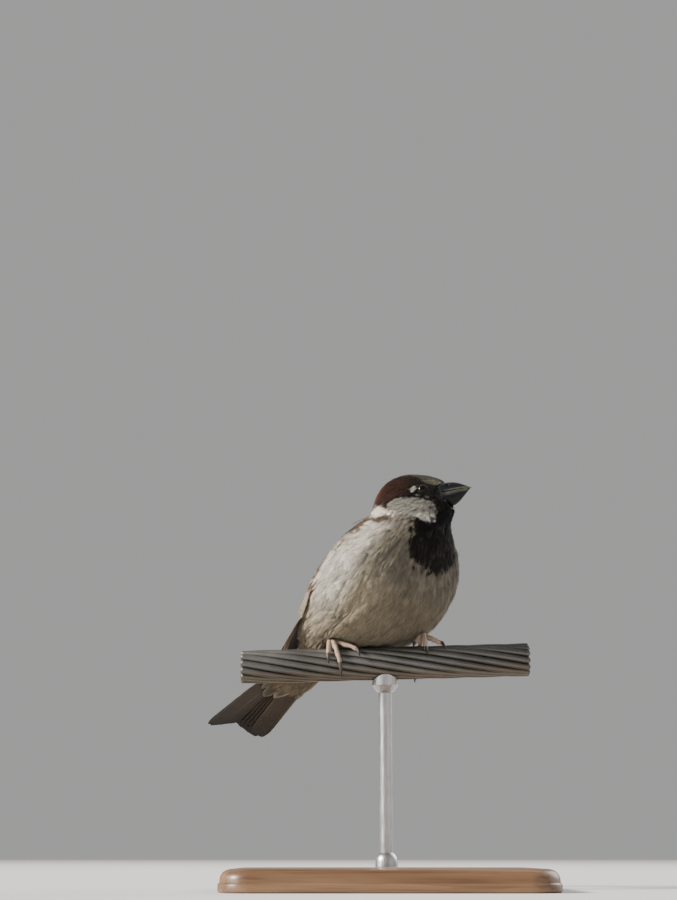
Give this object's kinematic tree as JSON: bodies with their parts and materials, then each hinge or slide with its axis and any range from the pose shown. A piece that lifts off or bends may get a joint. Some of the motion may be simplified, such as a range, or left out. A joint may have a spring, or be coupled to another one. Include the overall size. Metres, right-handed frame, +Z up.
{
  "type": "perched house sparrow model",
  "caption": "House sparrow male, perched on a cut length of stranded cable, as a still museum-type model held by a plain display stand.",
  "frame": {"origin": "centre of the stand base's underside, under the middle of the perch", "axes": "+Z up; +X along the perch cable, the way the bill points; -Y is the side the breast and right flank face"},
  "size_m": [0.1304, 0.1248, 0.1554],
  "materials": {
    "plumage_head": "soft feather, chestnut and grey crown, pale cheek, black face",
    "plumage_neck": "soft feather, white neck patch, chestnut nape, black throat",
    "plumage_body": "soft fluffed feather, grey-buff underparts, black bib, streaked back",
    "wing": "smooth flight feather, brown with buff edges",
    "tail": "smooth feather, grey-brown with pale edges",
    "bill": "dark slate horn with a dull shine",
    "eye": "dark brown, wet gloss",
    "leg": "pinkish brown scaled skin",
    "claw": "dark horn",
    "cable": "weathered grey-brown strand, dull",
    "stand_wood": "dark satin wood",
    "stand_metal": "satin rod"
  },
  "bodies": {
    "root": {"head": "plumage_head", "neck": "plumage_neck", "trunk": "plumage_body", "wing_left": "wing", "wing_right": "wing", "tail": "tail", "bill_upper": "bill", "bill_lower": "bill", "eye_left": "eye", "eye_right": "eye", "leg_left": "leg", "leg_right": "leg", "foot_left": "leg", "foot_right": "leg", "claw_left_inner": "claw", "claw_left_middle": "claw", "claw_left_outer": "claw", "claw_left_hind": "claw", "claw_right_inner": "claw", "claw_right_middle": "claw", "claw_right_outer": "claw", "claw_right_hind": "claw", "perch_cable": "cable", "stand_base": "stand_wood", "stand_rod": "stand_metal", "stand_saddle": "stand_metal"}
  },
  "joints": []
}
